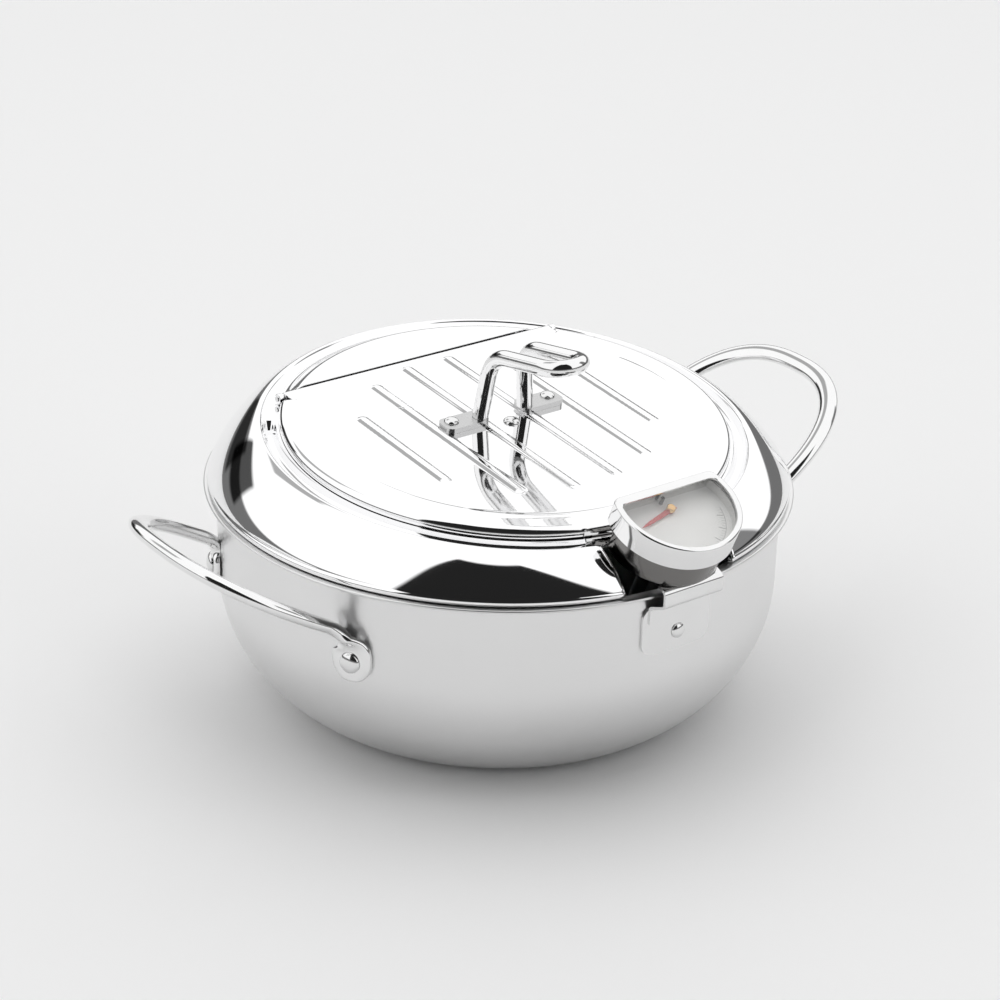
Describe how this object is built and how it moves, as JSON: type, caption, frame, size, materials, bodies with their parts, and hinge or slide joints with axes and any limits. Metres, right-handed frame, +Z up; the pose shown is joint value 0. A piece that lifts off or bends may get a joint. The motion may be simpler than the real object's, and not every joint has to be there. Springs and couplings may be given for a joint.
{
  "type": "deep frying pot",
  "caption": "Round steel frying pot with riveted loop handles, a lid ring with drip groove and hinged ribbed flap with grip, and a dial thermometer on a rim bracket.",
  "frame": {"origin": "centre of the underside of the flat base", "axes": "+Z up, +X through the right loop handle, -Y to the front, where the thermometer is"},
  "size_m": [0.3463, 0.2714, 0.1662],
  "materials": {
    "pot_steel": "satin, faint turning marks",
    "lid_steel": "mirror polished",
    "handle_steel": "polished",
    "rivet_steel": "polished",
    "bracket_steel": "polished",
    "case_steel": "polished",
    "bezel_steel": "polished",
    "clear_lens": "clear, flat",
    "spacer_steel": "satin",
    "dial_paint": "off-white, satin, printed scale",
    "pin_black": "black",
    "coil_metal": "dull",
    "stem_steel": "polished",
    "brass_fittings": "turned",
    "nut_steel": "satin",
    "spindle_steel": "drawn wire",
    "pointer_red": "red",
    "rod_steel": "drawn"
  },
  "bodies": {
    "pot": {"pot_shell": "pot_steel", "left_handle": "handle_steel", "right_handle": "handle_steel", "handle_rivets": "rivet_steel", "thermometer_bracket": "bracket_steel", "bracket_rivet": "rivet_steel", "thermometer_case": "case_steel", "bezel": "bezel_steel", "lens": "clear_lens", "dial_spacer": "spacer_steel", "dial_plate": "dial_paint", "stop_pin": "pin_black", "bimetal_coil": "coil_metal", "stem_tube": "stem_steel", "spindle_bush": "brass_fittings", "clamp_nut": "nut_steel"},
    "needle": {"spindle": "spindle_steel", "pointer": "pointer_red", "pointer_cap": "brass_fittings"},
    "lid_ring": {"lid_ring": "lid_steel", "hinge_rod": "rod_steel"},
    "lid_flap": {"lid_flap": "lid_steel", "lid_handle": "handle_steel", "left_foot": "lid_steel", "right_foot": "lid_steel", "foot_rivets": "rivet_steel", "centre_stud": "rivet_steel"}
  },
  "joints": [
    {"name": "lid_lift", "type": "slide", "parent": "pot", "child": "lid_ring", "axis": [0, 0, 1], "range_m": [0, 0.12]},
    {"name": "flap_hinge", "type": "hinge", "parent": "lid_ring", "child": "lid_flap", "pos_m": [0, 0.06084, 0.12574], "axis": [-1, 0, 0], "range_deg": [0, 95]},
    {"name": "needle", "type": "hinge", "parent": "pot", "child": "needle", "pos_m": [0, -0.11715, 0.13015], "axis": [0, -0.3746, 0.9272], "range_deg": [0, 150]}
  ]
}
